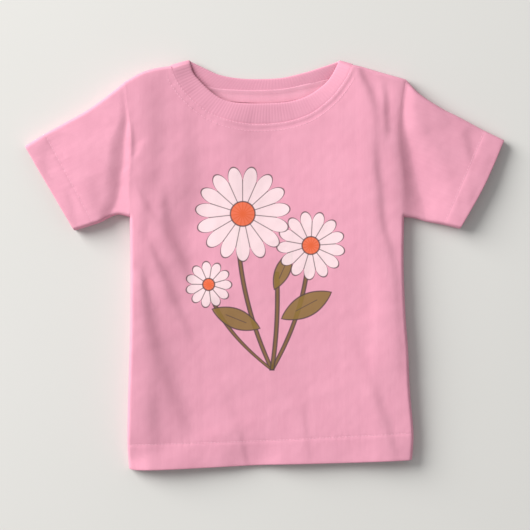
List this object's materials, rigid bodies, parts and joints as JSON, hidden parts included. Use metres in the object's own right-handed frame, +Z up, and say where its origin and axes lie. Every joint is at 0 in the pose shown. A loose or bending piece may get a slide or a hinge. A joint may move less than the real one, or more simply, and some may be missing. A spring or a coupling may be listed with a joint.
{
  "type": "infant short-sleeved t-shirt",
  "caption": "Knitted cotton T-shirt for a baby, lying flat and face up, with a ribbed crew neck, set-in short sleeves and stitched hems, open at the neck, cuffs and hem.",
  "frame": {"origin": "on the surface that the shirt lies on, under the middle of its outline", "axes": "+X towards the wearer's left sleeve, +Y towards the neck, +Z up, out of the chest"},
  "size_m": [0.3942, 0.3373, 0.0171],
  "materials": {
    "pink_jersey": "matt single jersey",
    "pink_rib": "matt ribbed knit",
    "pink_tape": "matt cotton tape"
  },
  "bodies": {
    "root": {"front_panel": "pink_jersey", "back_panel": "pink_jersey", "sleeve_left": "pink_jersey", "sleeve_right": "pink_jersey", "cuff_left": "pink_jersey", "cuff_right": "pink_jersey", "hem_front": "pink_jersey", "hem_back": "pink_jersey", "collar": "pink_rib", "neck_tape": "pink_tape"}
  },
  "joints": []
}
